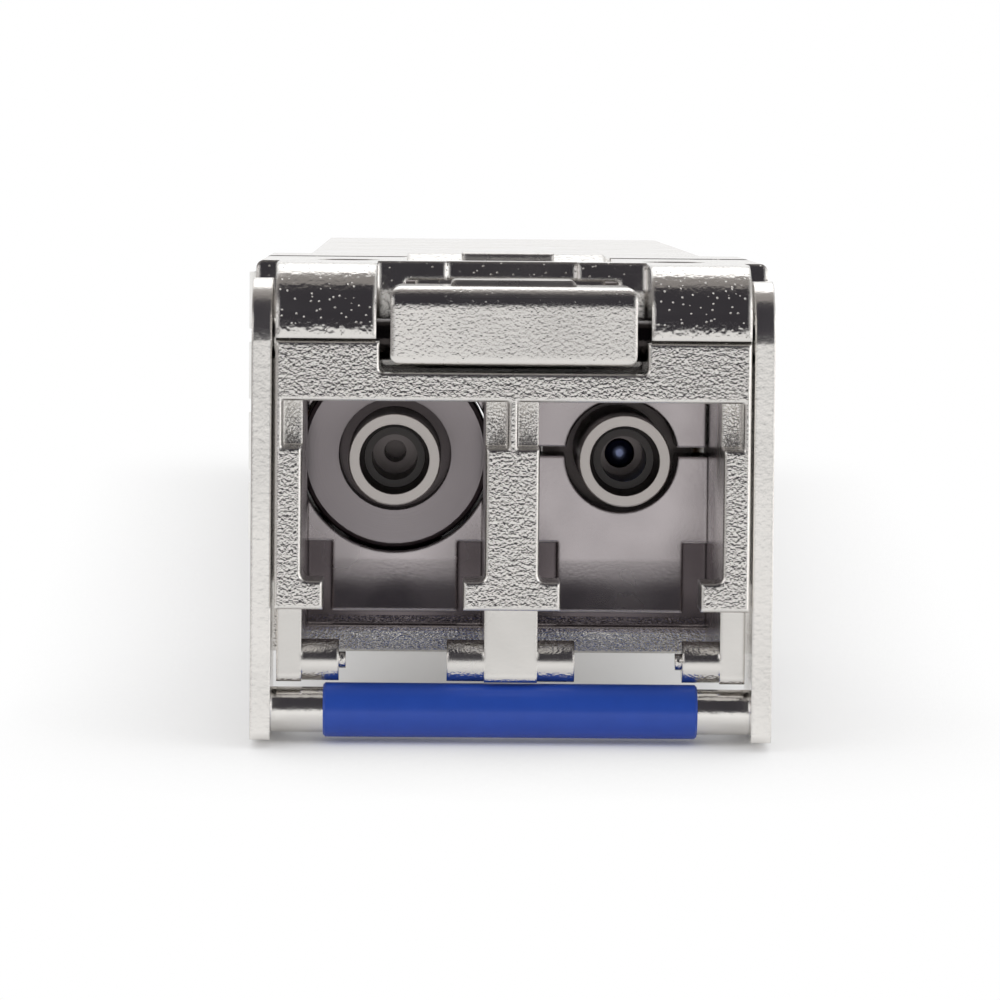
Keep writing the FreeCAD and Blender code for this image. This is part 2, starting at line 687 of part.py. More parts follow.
def emi_collar():
    """Open ring of spring sheet with bowed contact fingers at the two sides and below."""
    inner_drop = COLLAR_GROOVE - COLLAR_SLACK
    outer_drop = inner_drop - COLLAR_SHEET
    inner = HALF_BODY - inner_drop
    outer = HALF_BODY - outer_drop
    band_end = COLLAR_DEPTH + COLLAR_BAND
    mouth = ARM_WIDTH / 2 + POCKET_SIDE + MOUTH_MARGIN
    band = block(-outer, outer, COLLAR_DEPTH, band_end, outer_drop, BODY_HEIGHT - outer_drop)
    cut_start = COLLAR_DEPTH - OVERRUN
    cut_end = band_end + OVERRUN
    band = band.cut([
        block(-inner, inner, cut_start, cut_end, inner_drop, BODY_HEIGHT - inner_drop),
        block(-mouth, mouth, cut_start, cut_end, -OVERRUN, COLLAR_GROOVE + OVERRUN),
    ])
    root = band_end - COLLAR_SHEET
    tip = root + FINGER_LENGTH
    finger = bowed_strip(FINGER_WIDTH, root, tip, inner_drop, inner_drop - FINGER_BOW, COLLAR_SHEET)
    middle = Vector(0, 0, 0)
    along = Vector(0, 1, 0)
    fingers = []
    under = finger.rotated(middle, along, 180)
    for index in range(BOTTOM_FINGERS):
        place = (index - (BOTTOM_FINGERS - 1) / 2) * FINGER_PITCH
        fingers.append(under.translated(Vector(place, 0, 0)))
    beside = finger.rotated(middle, along, 90)
    for index in range(SIDE_FINGERS):
        height = (index - (SIDE_FINGERS - 1) / 2) * FINGER_PITCH
        fingers += both_sides(beside.translated(Vector(HALF_BODY - LATCH_FACE, 0, height)))
    return joined([band] + fingers)


def barrel(axis_x, rear_hole):
    """Turned ferrule receptacle with a flared mouth and a pocket for the ferrule's sleeve."""
    pocket = FERRULE_BORE + SLEEVE_WALL + OPTICS_FIT
    pocket_start = BARREL_DEPTH + MOUTH_LENGTH
    pocket_end = pocket_start + FERRULE_REACH
    end = BARREL_DEPTH + OPTICS_LENGTH
    return turned(axis_x, [
        (BARREL_MOUTH, BARREL_DEPTH),
        (BARREL_RADIUS - MOUTH_CHAMFER, BARREL_DEPTH),
        (BARREL_RADIUS, BARREL_DEPTH + MOUTH_CHAMFER),
        (BARREL_RADIUS, end),
        (rear_hole, end),
        (rear_hole, pocket_end),
        (pocket, pocket_end),
        (pocket, pocket_start),
    ])


def ferrule_sleeve(axis_x):
    """Ceramic sleeve that centres the plug's ferrule."""
    start = BARREL_DEPTH + MOUTH_LENGTH
    end = start + FERRULE_REACH
    outside = FERRULE_BORE + SLEEVE_WALL
    return turned(axis_x, [(FERRULE_BORE, start), (outside, start), (outside, end), (FERRULE_BORE, end)])


def tosa_flange():
    """Round flange that locates the transmit barrel in the port's rear wall."""
    start = PORT_DEPTH + FLANGE_INSET
    step = start + FLANGE_LENGTH / 2
    end = start + FLANGE_LENGTH
    relief = BARREL_RADIUS + FLANGE_RELIEF
    bore = BARREL_RADIUS + OPTICS_FIT
    return turned(-AXIS_PITCH / 2, [
        (relief, start),
        (FLANGE_RADIUS - FLANGE_CHAMFER, start),
        (FLANGE_RADIUS, start + FLANGE_CHAMFER),
        (FLANGE_RADIUS, end),
        (bore, end),
        (bore, step),
        (relief, step),
    ])


def can(axis_x):
    """Welded metal can on its header."""
    start = BARREL_DEPTH + OPTICS_LENGTH
    step = start + CAN_LENGTH
    end = step + HEADER_LENGTH
    return turned(axis_x, [
        (0, start),
        (CAN_RADIUS, start),
        (CAN_RADIUS, step),
        (HEADER_RADIUS, step),
        (HEADER_RADIUS, end),
        (0, end),
    ])


def leads(axis_x):
    """Short header pins, soldered flush to the flex tail."""
    pins = []
    for index in range(PIN_COUNT):
        angle = math.pi * (2 * index + 1) / PIN_COUNT
        x = axis_x + PIN_CIRCLE * math.cos(angle)
        drop = AXIS_DROP + PIN_CIRCLE * math.sin(angle)
        foot = Vector(x, at(HEADER_END), down(drop))
        pins.append(Part.makeCylinder(PIN_RADIUS, PIN_LENGTH, foot, Vector(0, 1, 0)))
    return Part.makeCompound(pins)


def flex(axis_x):
    """Flexible tail from a header's pins to the underside of the board."""
    face = HEADER_END + PIN_LENGTH
    back = face + FLEX_SHEET
    end = BOARD_FRONT + FLEX_OVERLAP
    low = AXIS_DROP + PIN_CIRCLE + FLEX_MARGIN
    under = BOARD_UNDERSIDE + FLEX_SHEET
    return prism_x(axis_x - FLEX_WIDTH / 2, axis_x + FLEX_WIDTH / 2, [
        (face, low),
        (face, BOARD_UNDERSIDE, FLEX_BEND + FLEX_SHEET),
        (end, BOARD_UNDERSIDE),
        (end, under),
        (back, under, FLEX_BEND),
        (back, low),
    ])


def rosa_lens():
    """Domed lens that closes the receive barrel behind the ferrule's seat."""
    start = BARREL_DEPTH + MOUTH_LENGTH + FERRULE_REACH
    end = BARREL_DEPTH + OPTICS_LENGTH
    return turned(AXIS_PITCH / 2, [
        (0, start),
        (LENS_RADIUS, start, LENS_DOME),
        (LENS_RADIUS, end),
        (0, end),
    ])


def osa_clamp():
    """Upper half of the wall round the receive barrel, a separate block held down by the lid."""
    half = PORT_WIDTH / 2 - OPTICS_CLEARANCE
    middle = PORT_PITCH / 2
    end = PORT_DEPTH + PARTITION
    body = block(middle - half, middle + half, PORT_DEPTH, end, PARTING_DROP, SPLIT_DROP - SPLIT_GAP / 2)
    return body.cut(axial_hole(AXIS_PITCH / 2, CLAMP_BORE))


def main_board():
    """Circuit board with a narrow tongue for the host connector."""
    half = BOARD_WIDTH / 2
    half_edge = EDGE_WIDTH / 2
    neck = BOARD_END - EDGE_LENGTH
    return prism_z(BOARD_UNDERSIDE, BOARD_DROP, [
        (-half, BOARD_FRONT),
        (half, BOARD_FRONT),
        (half, neck),
        (half_edge, neck),
        (half_edge, BOARD_END, SMALL_ROUND),
        (-half_edge, BOARD_END, SMALL_ROUND),
        (-half_edge, neck),
        (-half, neck),
    ])


def edge_contacts():
    """Gold fingers on both faces of the board's tongue."""
    end = BOARD_END - CONTACT_SETBACK
    half = CONTACT_WIDTH / 2
    contacts = []
    for index in range(CONTACT_COUNT):
        x = (index - (CONTACT_COUNT - 1) / 2) * CONTACT_PITCH
        for top in (BOARD_DROP - CONTACT_SHEET, BOARD_UNDERSIDE):
            contacts.append(block(x - half, x + half, end - CONTACT_LENGTH, end, top, top + CONTACT_SHEET))
    return Part.makeCompound(contacts)


def chip(x, front, side):
    """Moulded chip under the board with drafted edges at its outer face."""
    low = BOARD_UNDERSIDE + CHIP_HEIGHT
    body = block(x - side / 2, x + side / 2, front, front + side, BOARD_UNDERSIDE, low)
    outer = [edge for edge in body.Edges if edge.BoundBox.ZMax < down(low) + OVERLAP]
    return body.makeChamfer(CHIP_CHAMFER, outer)


def chip_capacitors():
    """Rows of small capacitors on the latch side of the board."""
    half = CAPACITOR_WIDTH / 2
    top = BOARD_DROP - CAPACITOR_WIDTH
    pieces = []
    for column in range(CAPACITOR_COLUMNS):
        x = (column - (CAPACITOR_COLUMNS - 1) / 2) * CAPACITOR_SPREAD
        for row in range(CAPACITOR_ROWS):
            front = BOARD_FRONT + CAPACITOR_SETBACK + row * CAPACITOR_PITCH
            pieces.append(block(x - half, x + half, front, front + CAPACITOR_LENGTH, top, BOARD_DROP))
    return Part.makeCompound(pieces)


def power_inductors(front):
    """Two moulded inductors of the supply filter, under the board."""
    half = INDUCTOR_SIDE / 2
    low = BOARD_UNDERSIDE + INDUCTOR_HEIGHT
    pieces = []
    for x in (-INDUCTOR_SPREAD / 2, INDUCTOR_SPREAD / 2):
        pieces.append(block(x - half, x + half, front, front + INDUCTOR_SIDE, BOARD_UNDERSIDE, low))
    return Part.makeCompound(pieces)


os.makedirs("parts", exist_ok=True)

# Castings and latch
save(port_housing(), "port_housing")
save(latch_housing(), "latch_housing")
save(bail(), "bail")
save(bail_sleeve(), "bail_sleeve")
save(latch_lever(), "latch_lever")
save(lever_pivot_pin(), "lever_pivot_pin")
save(lever_spring(), "lever_spring")
save(emi_collar(), "emi_collar")

# Transmit and receive optics
transmit = -AXIS_PITCH / 2
receive = AXIS_PITCH / 2
save(barrel(transmit, STUB_HOLE), "tosa_barrel")
save(barrel(receive, LENS_RADIUS + OPTICS_FIT), "rosa_barrel")
save(tosa_flange(), "tosa_flange")
save(rosa_lens(), "rosa_lens")
save(osa_clamp(), "osa_clamp")
for name, axis_x in (("tosa", transmit), ("rosa", receive)):
    save(ferrule_sleeve(axis_x), name + "_sleeve")
    save(can(axis_x), name + "_can")
    save(leads(axis_x), name + "_leads")
    save(flex(axis_x), name + "_flex")

# Circuit board and what it carries
chip_front = BOARD_FRONT + FLEX_OVERLAP + CHIP_GAP
controller_front = chip_front + DRIVER_SIDE + CONTROLLER_GAP
inductor_front = controller_front + CONTROLLER_SIDE + INDUCTOR_GAP
save(main_board(), "main_board")
save(edge_contacts(), "edge_contacts")
save(chip(-CHIP_SPREAD / 2, chip_front, DRIVER_SIDE), "laser_driver_chip")
save(chip(CHIP_SPREAD / 2, chip_front, AMP_SIDE), "receiver_amp_chip")
save(chip(0, controller_front, CONTROLLER_SIDE), "controller_chip")
save(chip_capacitors(), "chip_capacitors")
save(power_inductors(inductor_front), "power_inductors")
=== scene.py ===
import math

import bpy
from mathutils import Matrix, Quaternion, Vector


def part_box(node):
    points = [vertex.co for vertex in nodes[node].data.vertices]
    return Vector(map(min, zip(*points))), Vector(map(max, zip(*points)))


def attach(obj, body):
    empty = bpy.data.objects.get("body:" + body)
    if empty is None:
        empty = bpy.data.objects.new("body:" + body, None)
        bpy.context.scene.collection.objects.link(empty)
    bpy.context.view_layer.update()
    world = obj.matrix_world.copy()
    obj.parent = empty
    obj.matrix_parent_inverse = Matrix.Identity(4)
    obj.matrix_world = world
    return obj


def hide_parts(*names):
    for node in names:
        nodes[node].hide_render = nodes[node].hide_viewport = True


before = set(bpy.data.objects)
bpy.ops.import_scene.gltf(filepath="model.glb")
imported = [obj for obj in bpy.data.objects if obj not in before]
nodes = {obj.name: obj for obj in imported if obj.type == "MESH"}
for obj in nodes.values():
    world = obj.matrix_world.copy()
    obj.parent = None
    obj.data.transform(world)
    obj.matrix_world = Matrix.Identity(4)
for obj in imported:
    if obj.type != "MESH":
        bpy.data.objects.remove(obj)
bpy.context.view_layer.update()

# Lower casting with the two ports, the chin and the tray, and the clamp block over the receive barrel.
# They are die-cast zinc with bright nickel plate. The front face keeps the coarse grain of the spark-eroded
# die, the legs, port walls and tray come out smoother, and tumbling burnishes the edges before the plating.
MM = 0.001


def linear(code):
    """Linear colour with alpha from an sRGB hex code."""
    channels = [int(code[i:i + 2], 16) / 255 for i in (1, 3, 5)]
    return [c / 12.92 if c <= 0.04045 else ((c + 0.055) / 1.055) ** 2.4 for c in channels] + [1.0]


def add(tree, kind, inputs=None, **settings):
    """Adds a node, with its settings and with its inputs set to values or linked to other sockets."""
    node = tree.nodes.new(kind)
    for name, value in settings.items():
        setattr(node, name, value)
    for name, value in (inputs or {}).items():
        if isinstance(value, bpy.types.NodeSocket):
            tree.links.new(value, node.inputs[name])
        else:
            node.inputs[name].default_value = value
    return node


def new_material(name):
    """Empty node material, its tree and the Object coordinates that its patterns are drawn in."""
    material = bpy.data.materials.new(name)
    material.use_nodes = True
    tree = material.node_tree
    tree.nodes.clear()
    return material, tree, add(tree, "ShaderNodeTexCoord").outputs["Object"]


def close_material(tree, shader):
    """Makes this shader the material's surface."""
    add(tree, "ShaderNodeOutputMaterial", {"Surface": shader.outputs[0]})


def dress(material, *names):
    """Gives the material to these solids."""
    for name in names:
        mesh = nodes[name].data
        mesh.materials.clear()
        mesh.materials.append(material)


def plated_zinc(name, tint, edge, grain, relief, smooth_share, rough, pits, shaded=()):
    """Nickel plate over cast zinc. The grain breaks up the reflections on the front face, the lugs and the
    lip between them, and elsewhere its relief falls to a share of that. Tiny pits glint. A shaded box paints
    shade: a darker tint, a low and a high corner and the depth over which the tint sets in, in millimetres."""
    coarse_planes = {"front": -9.0 * MM, "corner_pockets": -7.7 * MM}
    skin = 0.06 * MM
    lug_top = -5.6 * MM
    lip_front = -1.0 * MM
    lip_wear = 0.4
    pit_spacing = 0.17 * MM
    pit_depth = 0.03 * MM
    cloud = 2.5 * MM
    material, tree, place = new_material(name)
    x, depth, height = add(tree, "ShaderNodeSeparateXYZ", {"Vector": place}).outputs
    soft = add(tree, "ShaderNodeBevel", {"Radius": edge}, samples=8).outputs[0]
    flat = add(tree, "ShaderNodeNewGeometry").outputs["Normal"]
    turn = add(tree, "ShaderNodeVectorMath", {0: soft, 1: flat}, operation="DOT_PRODUCT").outputs["Value"]
    off_edge = add(tree, "ShaderNodeMapRange", {"Value": turn, "From Min": 0.9, "From Max": 0.995})
    frontward = add(tree, "ShaderNodeVectorMath", {
        0: flat,
        1: (0, -1, 0),
    }, operation="DOT_PRODUCT").outputs["Value"]
    facing = add(tree, "ShaderNodeMapRange", {
        "Value": frontward,
        "From Min": 0.8,
        "From Max": 0.95,
    }).outputs[0]
    front = 0.0
    for plane in coarse_planes.values():
        on_plane = add(tree, "ShaderNodeMath", {0: depth, 1: plane, 2: skin}, operation="COMPARE").outputs[0]
        on_face = add(tree, "ShaderNodeMath", {0: on_plane, 1: facing}, operation="MULTIPLY").outputs[0]
        front = add(tree, "ShaderNodeMath", {0: on_face, 1: front}, operation="MAXIMUM").outputs[0]
    below = add(tree, "ShaderNodeMath", {0: height, 1: lug_top}, operation="LESS_THAN").outputs[0]
    ahead = add(tree, "ShaderNodeMath", {0: depth, 1: lip_front}, operation="LESS_THAN").outputs[0]
    worn = add(tree, "ShaderNodeMath", {0: ahead, 1: lip_wear}, operation="MAXIMUM").outputs[0]
    legs = add(tree, "ShaderNodeMath", {0: worn, 1: facing}, operation="MULTIPLY").outputs[0]
    lugs = add(tree, "ShaderNodeMath", {0: below, 1: legs}, operation="SUBTRACT").outputs[0]
    front = add(tree, "ShaderNodeMath", {0: lugs, 1: front}, operation="MAXIMUM").outputs[0]
    coarse = add(tree, "ShaderNodeMath", {0: front, 1: smooth_share}, operation="MAXIMUM").outputs[0]
    share = add(tree, "ShaderNodeMath", {0: coarse, 1: off_edge.outputs[0]}, operation="MULTIPLY")
    grains = add(tree, "ShaderNodeTexNoise", {"Vector": place, "Scale": 1 / grain, "Detail": 1.0})
    bumps = add(tree, "ShaderNodeMath", {
        0: grains.outputs["Fac"],
        1: share.outputs[0],
    }, operation="MULTIPLY")
    grainy = add(tree, "ShaderNodeBump", {
        "Strength": 1.0,
        "Distance": relief,
        "Height": bumps.outputs[0],
        "Normal": soft,
    })
    cells = add(tree, "ShaderNodeTexVoronoi", {"Vector": place, "Scale": 1 / pit_spacing})
    pit = add(tree, "ShaderNodeMapRange", {
        "Value": cells.outputs["Distance"],
        "From Min": 0.06,
        "From Max": 0.18,
    })
    pitted = add(tree, "ShaderNodeBump", {
        "Strength": pits,
        "Distance": pit_depth,
        "Height": pit.outputs[0],
        "Normal": grainy.outputs[0],
    })
    clouds = add(tree, "ShaderNodeTexNoise", {"Vector": place, "Scale": 1 / cloud, "Detail": 3.0})
    gloss = add(tree, "ShaderNodeMapRange", {
        "Value": clouds.outputs["Fac"],
        "From Min": 0.3,
        "From Max": 0.7,
        "To Min": rough * 0.75,
        "To Max": rough * 1.25,
    })
    polish = add(tree, "ShaderNodeMapRange", {"Value": front, "To Min": 1.0, "To Max": 0.7})
    sheen = add(tree, "ShaderNodeMath", {0: gloss.outputs[0], 1: polish.outputs[0]}, operation="MULTIPLY")
    colour = linear(tint)
    for painted_shade_tint, low_corner, high_corner, reach in shaded:
        start = low_corner[1] * MM
        within = add(tree, "ShaderNodeMapRange", {
            "Value": depth,
            "From Min": start,
            "From Max": start + reach * MM,
        })
        for value, low, high in zip((x, depth, height), low_corner, high_corner):
            middle = (low + high) / 2 * MM
            half = high * MM - middle
            near = add(tree, "ShaderNodeMath", {0: value, 1: middle, 2: half}, operation="COMPARE")
            within = add(tree, "ShaderNodeMath", {
                0: within.outputs[0],
                1: near.outputs[0],
            }, operation="MULTIPLY")
        colour = add(tree, "ShaderNodeMix", {
            "Factor": within.outputs[0],
            6: colour,
            7: linear(painted_shade_tint),
        }, data_type="RGBA").outputs[2]
    close_material(tree, add(tree, "ShaderNodeBsdfPrincipled", {
        "Base Color": colour,
        "Metallic": 1.0,
        "Roughness": sheen.outputs[0],
        "Normal": pitted.outputs[0],
    }))
    return material


bright_nickel = "#dcd9d5"
port_side, post_side = 5.75, 0.7
port_top, port_floor = 0.76, -6.0
seat_floor = -4.25
pocket_top, pocket_floor = -3.1, -5.8
port_mouth, wall_front, wall_back, seat_back = -7.5, -0.86, -0.03, 1.2
# Painted shade: the ports darken with depth from their mouths, and the walls at their backs, the seats behind
# them and the pockets below are darker still.
port_shade = [
    ("#b8b1b2", (-port_side, port_mouth, port_floor), (port_side, wall_back, port_top), 4.0),
    ("#6b6564", (-port_side, wall_front, pocket_floor), (port_side, wall_back, port_top), 0.1),
    ("#6b6564", (-post_side, wall_back, seat_floor), (port_side, seat_back, port_top), 0.1),
    ("#7a7273", (-port_side, wall_front, seat_floor), (-post_side, seat_back, port_top), 0.1),
    ("#6e6668", (-port_side, wall_front, pocket_floor), (port_side, wall_back, pocket_top), 0.1),
]
cast_nickel = plated_zinc(
    "nickel_plated_cast_zinc",
    bright_nickel,
    edge=0.12 * MM,
    grain=0.07 * MM,
    relief=0.03 * MM,
    smooth_share=0.05,
    rough=0.24,
    pits=0.0,
    shaded=port_shade,
)
dress(cast_nickel, "port_housing", "osa_clamp")

# Ferrule barrels, the round flange, the sealed cans and the lever's pin.
# They are turned from stainless steel, so fine rings round the optical axis stay on their faces. Behind their
# bright mouths they get a painted shade, a darker tint.


def turned_steel(name, tint, painted_shade_tint, mouth, rough):
    """Stainless steel turned about the two optical axes, with a painted shade behind its bright mouth."""
    low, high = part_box("rosa_barrel")
    axis = (low + high) / 2
    ring = 0.05 * MM
    ring_depth = 0.004 * MM
    edge = 0.03 * MM
    material, tree, place = new_material(name)
    x, depth, height = add(tree, "ShaderNodeSeparateXYZ", {"Vector": place}).outputs
    side = add(tree, "ShaderNodeMath", {0: x}, operation="ABSOLUTE")
    across = add(tree, "ShaderNodeMath", {0: side.outputs[0], 1: axis.x}, operation="SUBTRACT")
    above = add(tree, "ShaderNodeMath", {0: height, 1: axis.z}, operation="SUBTRACT")
    offset = add(tree, "ShaderNodeCombineXYZ", {"X": across.outputs[0], "Z": above.outputs[0]})
    radius = add(tree, "ShaderNodeVectorMath", {0: offset.outputs[0]}, operation="LENGTH").outputs["Value"]
    rings = add(tree, "ShaderNodeTexNoise", {
        "W": radius,
        "Scale": 1 / ring,
        "Detail": 2.0,
    }, noise_dimensions="1D")
    soft = add(tree, "ShaderNodeBevel", {"Radius": edge}, samples=4)
    bump = add(tree, "ShaderNodeBump", {
        "Strength": 0.5,
        "Distance": ring_depth,
        "Height": rings.outputs["Fac"],
        "Normal": soft.outputs[0],
    })
    behind = add(tree, "ShaderNodeMath", {0: depth, 1: mouth}, operation="GREATER_THAN")
    colour = add(tree, "ShaderNodeMix", {
        "Factor": behind.outputs[0],
        6: linear(tint),
        7: linear(painted_shade_tint),
    }, data_type="RGBA")
    close_material(tree, add(tree, "ShaderNodeBsdfPrincipled", {
        "Base Color": colour.outputs[2],
        "Metallic": 1.0,
        "Roughness": rough,
        "Normal": bump.outputs[0],
    }))
    return material


barrel_steel = turned_steel("turned_stainless_steel", "#c0bab6", "#6e6867", mouth=-3.5 * MM, rough=0.3)
dress(barrel_steel, "tosa_barrel", "rosa_barrel", "tosa_can", "rosa_can", "lever_pivot_pin")
flange_steel = turned_steel("turned_flange_steel", "#a39c9e", "#6b6465", mouth=-0.8 * MM, rough=0.34)
dress(flange_steel, "tosa_flange")

# Ferrule sleeves, receive lens and flex tails behind the ports.
# The sleeves are moulded from dark amber polymer, and the tails are amber polyimide film. The lens is glass,
# but the thin film on it mirrors bluish light like a metal, so it has the shader of the plated sheets.


def moulded(name, tint, shade, rough, spot):
    """Non-metal whose colour drifts between two close tones, with a faintly uneven skin."""
    skin = 0.01 * MM
    material, tree, place = new_material(name)
    tones = add(tree, "ShaderNodeTexNoise", {
        "Vector": place,
        "Scale": 1 / spot,
        "Detail": 4.0,
    }).outputs["Fac"]
    colour = add(tree, "ShaderNodeMix", {
        "Factor": tones,
        6: linear(tint),
        7: linear(shade),
    }, data_type="RGBA")
    bump = add(tree, "ShaderNodeBump", {"Strength": 0.3, "Distance": skin, "Height": tones})
    close_material(tree, add(tree, "ShaderNodeBsdfPrincipled", {
        "Base Color": colour.outputs[2],
        "Roughness": rough,
        "Normal": bump.outputs[0],
    }))
    return material


def rolled_metal(name, tint, rough, mark):
    """Rolled and plated sheet or foil with faint marks."""
    edge = 0.03 * MM
    mark_depth = 0.004 * MM
    material, tree, place = new_material(name)
    soft = add(tree, "ShaderNodeBevel", {"Radius": edge}, samples=4)
    marks = add(tree, "ShaderNodeTexNoise", {
        "Vector": place,
        "Scale": 1 / mark,
        "Detail": 3.0,
    }).outputs["Fac"]
    bump = add(tree, "ShaderNodeBump", {
        "Strength": 0.5,
        "Distance": mark_depth,
        "Height": marks,
        "Normal": soft.outputs[0],
    })
    gloss = add(tree, "ShaderNodeMapRange", {
        "Value": marks,
        "From Min": 0.3,
        "From Max": 0.7,
        "To Min": rough * 0.8,
        "To Max": rough * 1.2,
    })
    close_material(tree, add(tree, "ShaderNodeBsdfPrincipled", {
        "Base Color": linear(tint),
        "Metallic": 1.0,
        "Roughness": gloss.outputs[0],
        "Normal": bump.outputs[0],
    }))
    return material


# The sleeves' dark tone is partly their polymer and partly painted shade for the dark deep in the bores.
dark_polymer = moulded("dark_amber_polymer", "#463c38", "#3c332f", rough=0.3, spot=0.3 * MM)
dress(dark_polymer, "tosa_sleeve", "rosa_sleeve")
coated_lens = rolled_metal("coated_lens_glass", "#a8b3de", rough=0.34, mark=0.5 * MM)
dress(coated_lens, "rosa_lens")
amber_film = moulded("amber_polyimide_film", "#b9742a", "#a8651f", rough=0.35, spot=1.0 * MM)
dress(amber_film, "tosa_flex", "rosa_flex")

# Gold-plated pins of the two cans and the gold fingers of the card edge.
# The plate is thin and even over rolled copper, so only faint rolling marks break its shine.
hard_gold = rolled_metal("hard_gold_plate", "#e0b65c", rough=0.28, mark=0.1 * MM)
dress(hard_gold, "edge_contacts", "tosa_leads", "rosa_leads")

# Circuit board of glass-filled epoxy under green solder mask.
# The copper tracks that lead to the gold fingers lift the mask a little and show through it as paler stripes.
track_pitch = 0.8 * MM
track_width = 0.3 * MM
track_flank = 0.05 * MM
track_lift = 0.03 * MM
mask, tree, place = new_material("green_solder_mask")
x = add(tree, "ShaderNodeSeparateXYZ", {"Vector": place}).outputs["X"]
fold = add(tree, "ShaderNodeMath", {0: x, 1: track_pitch / 2}, operation="PINGPONG")
from_track = add(tree, "ShaderNodeMath", {0: track_pitch / 2, 1: fold.outputs[0]}, operation="SUBTRACT")
track = add(tree, "ShaderNodeMapRange", {
    "Value": from_track.outputs[0],
    "From Min": track_width / 2,
    "From Max": track_width / 2 + track_flank,
    "To Min": 1.0,
    "To Max": 0.0,
}).outputs[0]
mask_colour = add(tree, "ShaderNodeMix", {
    "Factor": track,
    6: linear("#1a5131"),
    7: linear("#2a6b42"),
}, data_type="RGBA")
mask_bump = add(tree, "ShaderNodeBump", {"Strength": 0.6, "Distance": track_lift, "Height": track})
close_material(tree, add(tree, "ShaderNodeBsdfPrincipled", {
    "Base Color": mask_colour.outputs[2],
    "Roughness": 0.4,
    "Normal": mask_bump.outputs[0],
}))
dress(mask, "main_board")

# Chips moulded in black epoxy and inductors pressed from grey ferrite.
# Both kinds are soldered under the board, and their skins are matt.
chip_epoxy = moulded("black_chip_epoxy", "#1c1c1e", "#262628", rough=0.55, spot=0.1 * MM)
dress(chip_epoxy, "laser_driver_chip", "receiver_amp_chip", "controller_chip")
ferrite = moulded("grey_ferrite", "#4a4a4d", "#3a3a3c", rough=0.6, spot=0.15 * MM)
dress(ferrite, "power_inductors")

# Capacitors on the latch side of the board: tan ceramic blocks with a tinned cap on each end.
# They stand in even rows, so one tree of blocks on a grid lays out the ceramic and, once more, the caps.
columns, rows = 4, 5
chip_size = Vector((0.5, 1.0, 0.5)) * MM
cap_reach = 0.25 * MM
cap_wrap = 0.015 * MM
row_tree = bpy.data.node_groups.new("capacitor_rows", "GeometryNodeTree")
for name, kind in (("Columns", "NodeSocketInt"), ("Rows", "NodeSocketInt"), ("Width", "NodeSocketFloat"),
                   ("Depth", "NodeSocketFloat"), ("Middle", "NodeSocketVector"), ("Blocks", "NodeSocketInt"),
                   ("First", "NodeSocketVector"), ("Step", "NodeSocketVector"), ("Size", "NodeSocketVector"),
                   ("Finish", "NodeSocketMaterial")):
    row_tree.interface.new_socket(name=name, in_out="INPUT", socket_type=kind)
row_tree.interface.new_socket(name="Geometry", in_out="OUTPUT", socket_type="NodeSocketGeometry")
given = add(row_tree, "NodeGroupInput").outputs
spots = add(row_tree, "GeometryNodeMeshGrid", {
    "Size X": given["Width"],
    "Size Y": given["Depth"],
    "Vertices X": given["Columns"],
    "Vertices Y": given["Rows"],
})
placed = add(row_tree, "GeometryNodeTransform", {
    "Geometry": spots.outputs["Mesh"],
    "Translation": given["Middle"],
})
line = add(row_tree, "GeometryNodeMeshLine", {
    "Count": given["Blocks"],
    "Start Location": given["First"],
    "Offset": given["Step"],
})
brick = add(row_tree, "GeometryNodeMeshCube", {"Size": given["Size"]})
chip = add(row_tree, "GeometryNodeInstanceOnPoints", {
    "Points": line.outputs[0],
    "Instance": brick.outputs["Mesh"],
})
laid = add(row_tree, "GeometryNodeInstanceOnPoints", {
    "Points": placed.outputs[0],
    "Instance": chip.outputs[0],
})
solid = add(row_tree, "GeometryNodeRealizeInstances", {"Geometry": laid.outputs[0]})
painted = add(row_tree, "GeometryNodeSetMaterial", {
    "Geometry": solid.outputs[0],
    "Material": given["Finish"],
})
add(row_tree, "NodeGroupOutput", {"Geometry": painted.outputs[0]})


def lay_blocks(name, blocks, first, step, size, finish):
    """Lays these blocks on every spot of the capacitor rows and makes them one plain mesh on the housing."""
    low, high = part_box("chip_capacitors")
    values = {
        "Columns": columns,
        "Rows": rows,
        "Width": high.x - low.x - chip_size.x,
        "Depth": high.y - low.y - chip_size.y,
        "Middle": (low + high) / 2,
        "Blocks": blocks,
        "First": first,
        "Step": step,
        "Size": size,
        "Finish": finish,
    }
    draft = bpy.data.objects.new("draft", bpy.data.meshes.new("draft"))
    bpy.context.scene.collection.objects.link(draft)
    layout = draft.modifiers.new("rows", "NODES")
    layout.node_group = row_tree
    for item in row_tree.interface.items_tree:
        if item.in_out == "INPUT":
            layout[item.identifier] = values[item.name]
    draft.update_tag()
    evaluated = draft.evaluated_get(bpy.context.evaluated_depsgraph_get())
    mesh = bpy.data.meshes.new_from_object(evaluated)
    bpy.data.objects.remove(draft)
    mesh.name = name
    piece = bpy.data.objects.new(name, mesh)
    bpy.context.scene.collection.objects.link(piece)
    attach(piece, "housing")
    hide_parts("chip_capacitors")


ceramic = moulded("tan_capacitor_ceramic", "#9b7a55", "#86683f", rough=0.5, spot=0.2 * MM)
tin = rolled_metal("matt_tin_plate", "#c9c8c4", rough=0.4, mark=0.15 * MM)
ceramic_size = chip_size - Vector((2 * cap_wrap, 2 * cap_wrap, 2 * cap_wrap))
lay_blocks("capacitor_bodies", 1, Vector(), Vector(), ceramic_size, ceramic)
cap_size = Vector((chip_size.x, cap_reach, chip_size.z))
cap_step = Vector((0, chip_size.y - cap_reach, 0))
lay_blocks("capacitor_caps", 2, -cap_step / 2, cap_step, cap_size, tin)

